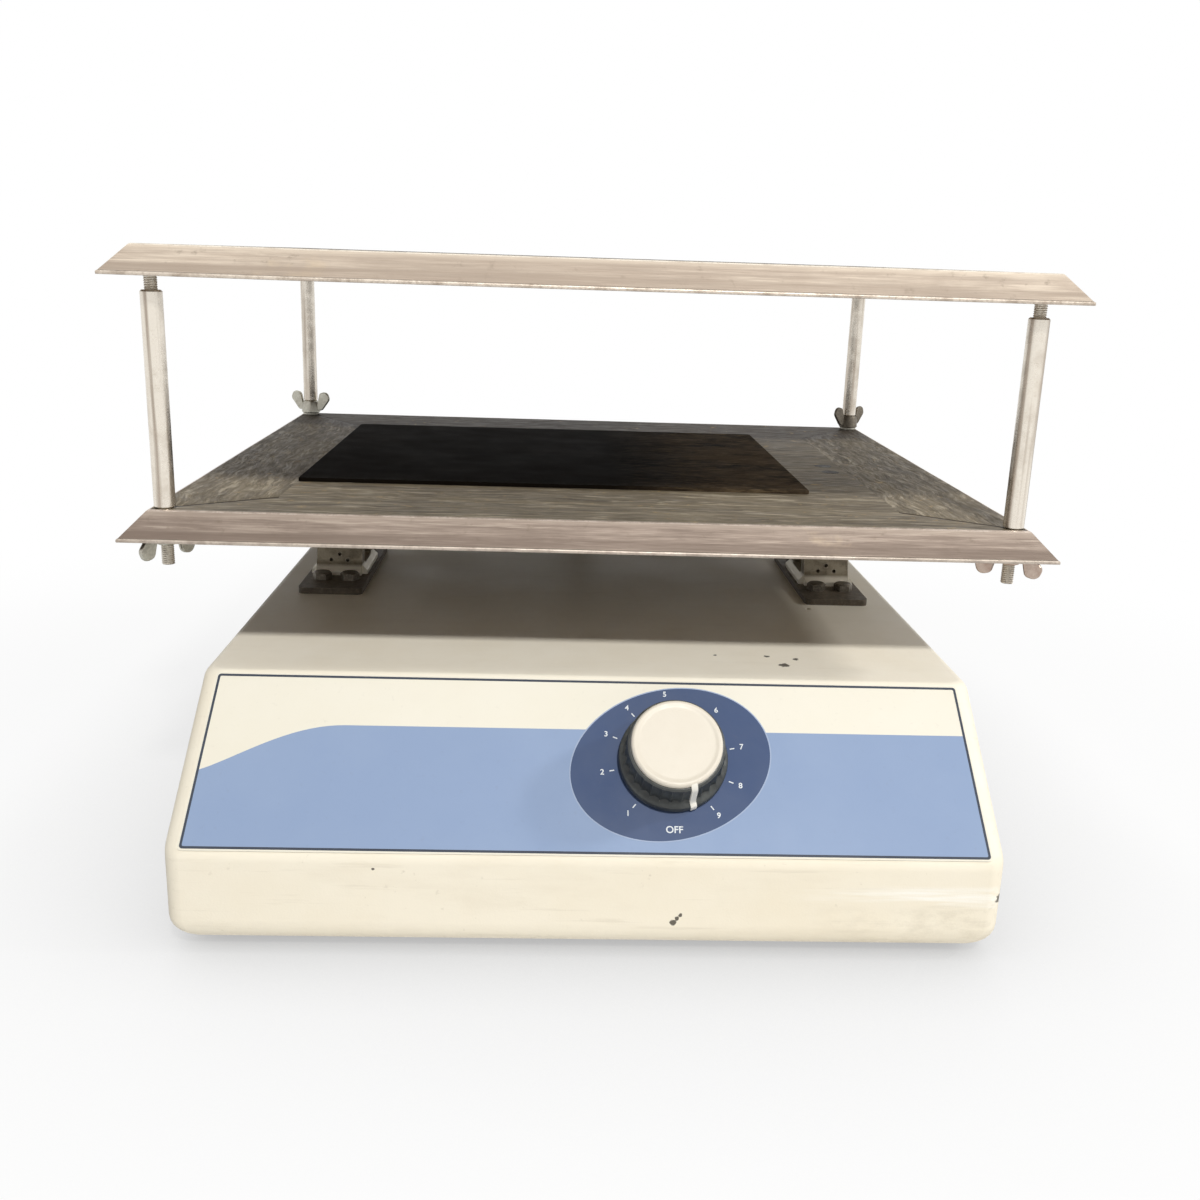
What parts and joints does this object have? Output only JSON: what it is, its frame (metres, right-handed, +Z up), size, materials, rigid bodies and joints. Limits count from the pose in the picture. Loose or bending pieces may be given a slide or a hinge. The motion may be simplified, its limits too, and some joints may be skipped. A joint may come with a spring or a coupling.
{
  "type": "rocking platform shaker",
  "caption": "Bench shaker whose two stacked trays rock front to back on side pivots, driven from a sloped-front housing with a speed knob.",
  "frame": {"origin": "on the bench, under the middle of the object's bounding box at rest", "axes": "+X to the right seen from the control panel, +Y to the back, +Z up"},
  "size_m": [0.356, 0.3634, 0.2491],
  "materials": {
    "painted_housing": "satin cream powder coat",
    "label_film": "printed polyester film",
    "black_rubber": "matt",
    "black_plastic": "fine texture",
    "cream_plastic": "satin",
    "brushed_sheet": "brushed, worn",
    "cast_stand": "sand cast, dull",
    "zinc_steel": "zinc plated",
    "turned_steel": "turned",
    "black_steel": "black finish",
    "bronze": "sintered bronze",
    "board_green": "printed circuit laminate",
    "white_plastic": "acetal"
  },
  "bodies": {
    "base": {"base_housing": "painted_housing", "base_plate": "zinc_steel", "plate_screws": "zinc_steel", "rubber_feet": "black_rubber", "front_label": "label_film", "left_stand_plate": "black_steel", "right_stand_plate": "black_steel", "left_pivot_stand": "cast_stand", "right_pivot_stand": "cast_stand", "stand_bolts": "zinc_steel", "stand_nuts": "zinc_steel", "pivot_bushes": "bronze", "guide_bush": "bronze", "guide_nut": "zinc_steel", "gearmotor": "turned_steel", "motor_bracket": "zinc_steel", "motor_screws": "zinc_steel", "bracket_screws": "zinc_steel", "power_inlet": "black_plastic", "inlet_screws": "zinc_steel", "fuse_holder": "black_plastic", "control_board": "board_green", "board_standoffs": "zinc_steel", "board_screws": "zinc_steel", "transformer": "turned_steel", "potentiometer": "black_plastic", "pot_nut": "zinc_steel"},
    "dial": {"knob": "black_plastic", "knob_cap": "cream_plastic", "control_shaft": "zinc_steel"},
    "crank": {"motor_shaft": "turned_steel", "crank_disc": "turned_steel", "crank_pin": "turned_steel", "crank_set_screw": "black_steel", "roller_clip": "black_steel"},
    "roller": {"crank_roller": "white_plastic"},
    "slide": {"drive_yoke": "turned_steel", "push_rod": "turned_steel", "rod_pin": "turned_steel"},
    "platform": {"cross_channel": "brushed_sheet", "spine_channel": "brushed_sheet", "drive_lug": "zinc_steel", "left_hanger": "zinc_steel", "right_hanger": "zinc_steel", "hanger_screws": "zinc_steel", "hanger_nuts": "zinc_steel", "pivot_pins": "turned_steel", "pin_clips": "black_steel", "lower_tray": "brushed_sheet", "lower_mat": "black_rubber", "upper_tray": "brushed_sheet", "upper_mat": "black_rubber", "front_posts": "turned_steel", "rear_posts": "turned_steel", "front_wing_nuts": "zinc_steel", "rear_wing_nuts": "zinc_steel", "lower_lock_nuts": "zinc_steel", "upper_lock_nuts": "zinc_steel", "post_washers": "zinc_steel"}
  },
  "joints": [
    {"name": "platform_rock", "type": "hinge", "parent": "base", "child": "platform", "pos_m": [0, 0.02425, 0.1225], "axis": [1, 0, 0], "range_deg": [-7, 7]},
    {"name": "rod_lift", "type": "slide", "parent": "base", "child": "slide", "axis": [0, 0, 1], "range_m": [-0.011, 0.011]},
    {"name": "crank_turn", "type": "hinge", "parent": "base", "child": "crank", "pos_m": [0, 0.11425, 0.05], "axis": [1, 0, 0], "range_deg": [-90, 90]},
    {"name": "roller_spin", "type": "hinge", "parent": "crank", "child": "roller", "pos_m": [0, 0.12522, 0.05], "axis": [1, 0, 0], "continuous": true},
    {"name": "knob_turn", "type": "hinge", "parent": "base", "child": "dial", "pos_m": [0.0308, -0.15522, 0.06776], "axis": [0, -0.723, 0.6909], "range_deg": [0, 338]}
  ],
  "couplings": [
    {"joint": "rod_lift", "follows": "platform_rock", "m_per_rad": 0.089776},
    {"joint": "crank_turn", "follows": "platform_rock", "ratio": 12.857}
  ]
}
